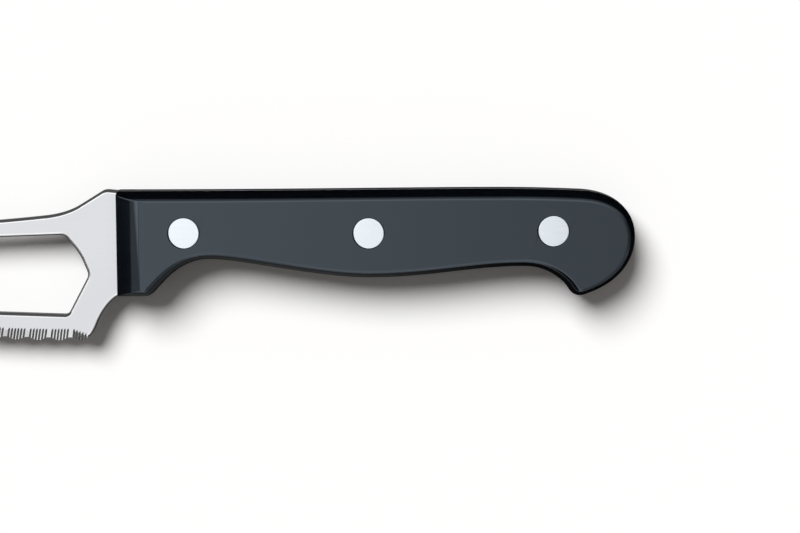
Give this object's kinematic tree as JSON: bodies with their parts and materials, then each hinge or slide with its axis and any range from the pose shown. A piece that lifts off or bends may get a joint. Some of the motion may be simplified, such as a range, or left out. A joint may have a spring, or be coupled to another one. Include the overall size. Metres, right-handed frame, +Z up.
{
  "type": "soft cheese knife",
  "caption": "Soft cheese knife: windowed, serrated steel blade with a forked tip, its full tang riveted between black handle scales; cuts soft cheese cleanly and lifts the slices.",
  "frame": {"origin": "centre of the knife's footprint, on the surface that it lies on", "axes": "+X from the forked tip to the butt, +Y from the cutting edge to the spine, +Z up, out of the side with the fine teeth"},
  "size_m": [0.25, 0.0358, 0.0129],
  "materials": {
    "blade_steel": "fine satin",
    "handle_plastic": "polished black",
    "rivet_metal": "ground bright"
  },
  "bodies": {
    "root": {"blade": "blade_steel", "upper_scale": "handle_plastic", "lower_scale": "handle_plastic", "front_rivet_pin": "rivet_metal", "middle_rivet_pin": "rivet_metal", "rear_rivet_pin": "rivet_metal", "front_rivet_socket": "rivet_metal", "middle_rivet_socket": "rivet_metal", "rear_rivet_socket": "rivet_metal"}
  },
  "joints": []
}
